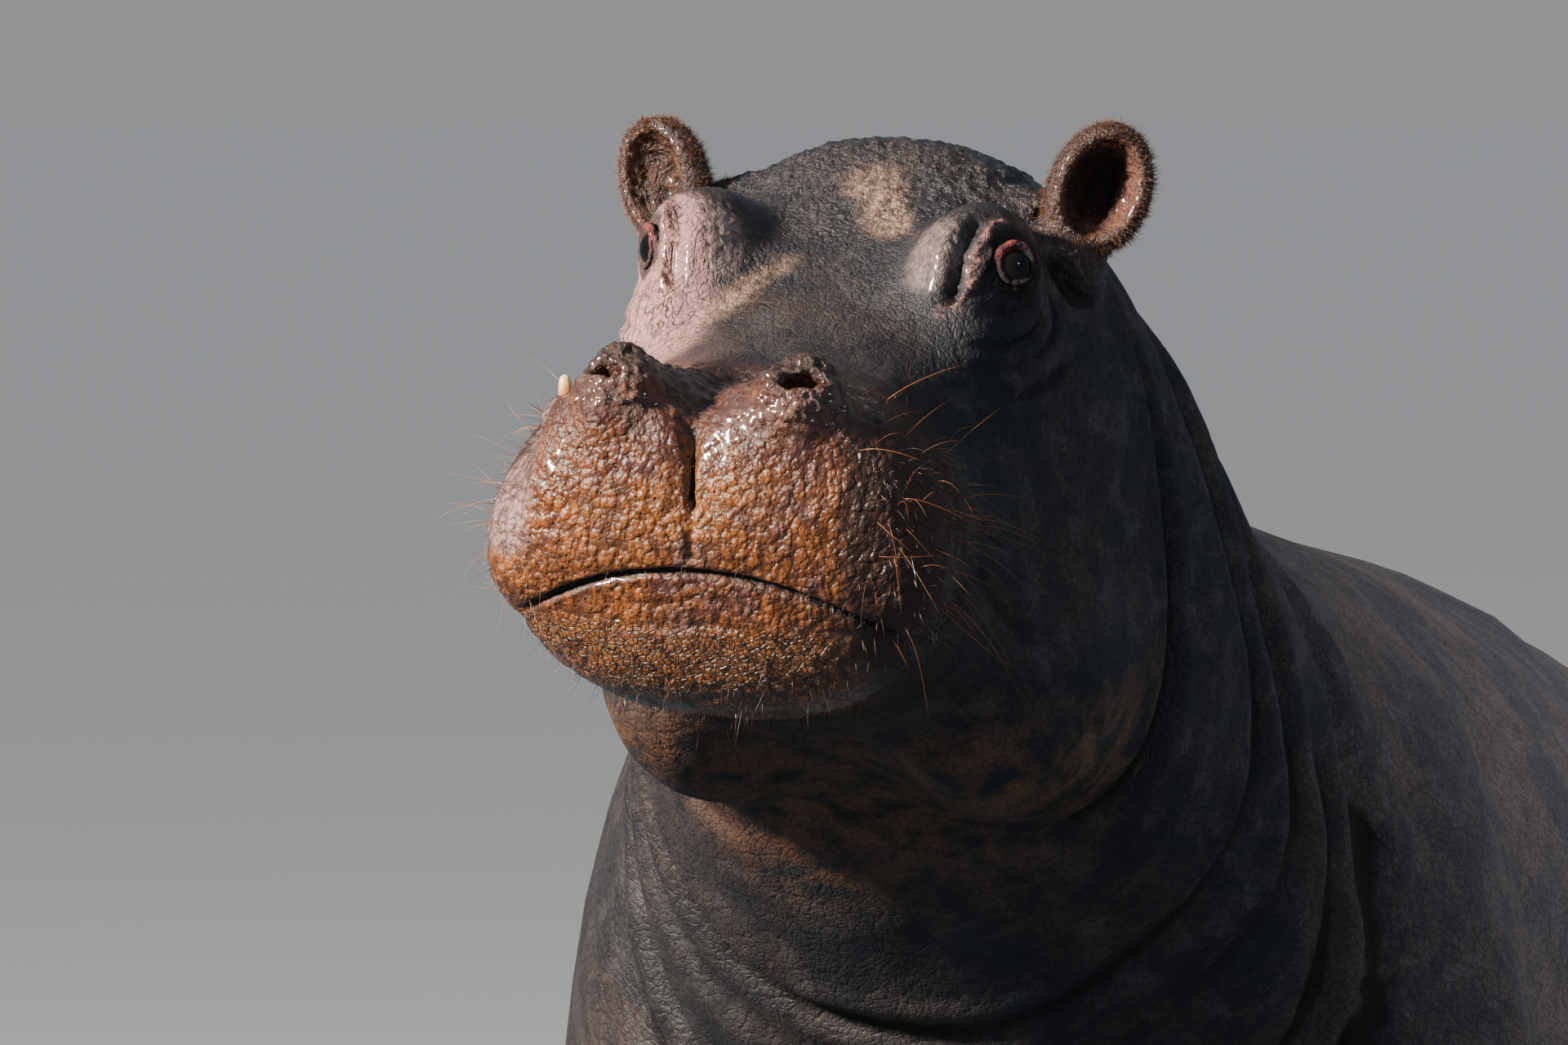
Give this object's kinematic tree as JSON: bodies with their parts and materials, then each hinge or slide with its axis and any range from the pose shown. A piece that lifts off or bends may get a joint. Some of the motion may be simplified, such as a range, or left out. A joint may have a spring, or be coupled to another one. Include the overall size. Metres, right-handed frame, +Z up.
{
  "type": "hippopotamus",
  "caption": "Life-size still model of an adult common hippopotamus in mid stride, head raised, mouth closed, one tusk tip showing through its lip.",
  "frame": {"origin": "middle of the model's box, at floor level between the feet", "axes": "+Y runs back along the body, so the muzzle points to -Y; +X is the animal's left; +Z is up"},
  "size_m": [1.1812, 3.2516, 1.7682],
  "materials": {
    "skin": "wet, hairless hide: slate grey-brown to nearly black, orange-brown and pebbled on the muzzle, pink round the eyes, fine wrinkles in the folds",
    "eye": "wet, dark brown eyeball with a wide pupil",
    "ivory": "worn cream to yellow ivory",
    "nail": "dull grey-brown horn with fine ridges"
  },
  "bodies": {
    "root": {"head": "skin", "lower_jaw": "skin", "neck": "skin", "trunk": "skin", "tail": "skin", "foreleg_left": "skin", "foreleg_right": "skin", "hindleg_left": "skin", "hindleg_right": "skin", "ear_left": "skin", "ear_right": "skin", "eye_left": "eye", "eye_right": "eye", "tusk_right": "ivory", "nail_fore_left_1": "nail", "nail_fore_left_2": "nail", "nail_fore_left_3": "nail", "nail_fore_left_4": "nail", "nail_hind_left_1": "nail", "nail_hind_left_2": "nail", "nail_hind_left_3": "nail", "nail_hind_left_4": "nail", "nail_fore_right_1": "nail", "nail_fore_right_2": "nail", "nail_fore_right_3": "nail", "nail_fore_right_4": "nail", "nail_hind_right_1": "nail", "nail_hind_right_2": "nail", "nail_hind_right_3": "nail", "nail_hind_right_4": "nail"}
  },
  "joints": []
}
